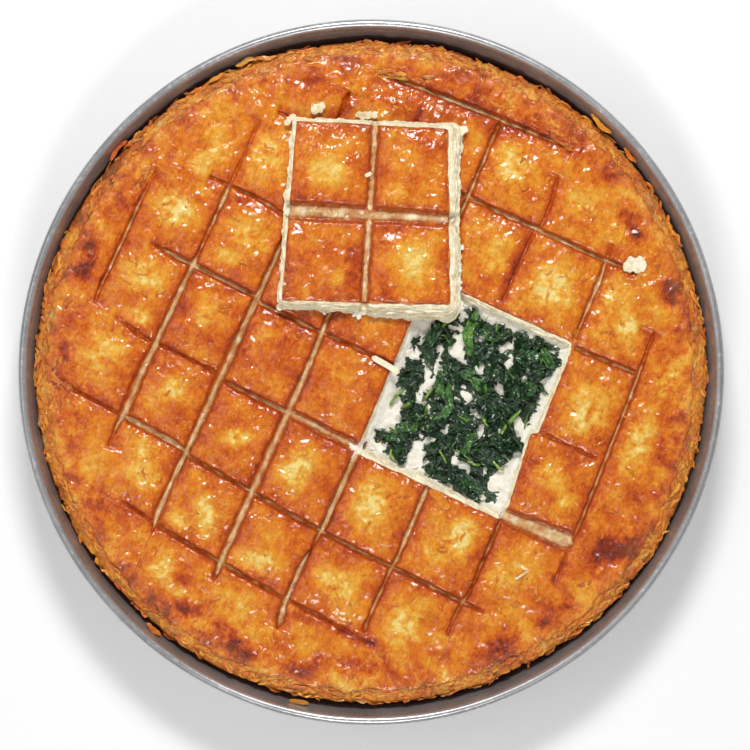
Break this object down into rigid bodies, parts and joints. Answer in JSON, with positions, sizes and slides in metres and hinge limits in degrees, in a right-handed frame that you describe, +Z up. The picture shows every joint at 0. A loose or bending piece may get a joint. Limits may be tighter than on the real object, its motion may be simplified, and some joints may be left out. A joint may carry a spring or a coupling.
{
  "type": "spanakopita pie",
  "caption": "Round scored spinach and cheese pie in its baking tin, with a square portion of crust lifted out and laid on top.",
  "frame": {"origin": "centre of the tin's underside", "axes": "+Z up; +X along the rows of scores, +Y across them along the columns"},
  "size_m": [0.38, 0.38, 0.0522],
  "materials": {
    "tin_metal": "dull spun aluminium, lightly scratched, browned inside",
    "cheese": "moist white fresh cheese",
    "spinach": "wet cooked dark green leaves",
    "baked_crust": "flaky baked pastry with a buttery glaze"
  },
  "bodies": {
    "root": {"tin": "tin_metal", "cheese_filling": "cheese", "spinach_filling": "spinach", "top_crust": "baked_crust", "lifted_portion": "baked_crust"}
  },
  "joints": []
}
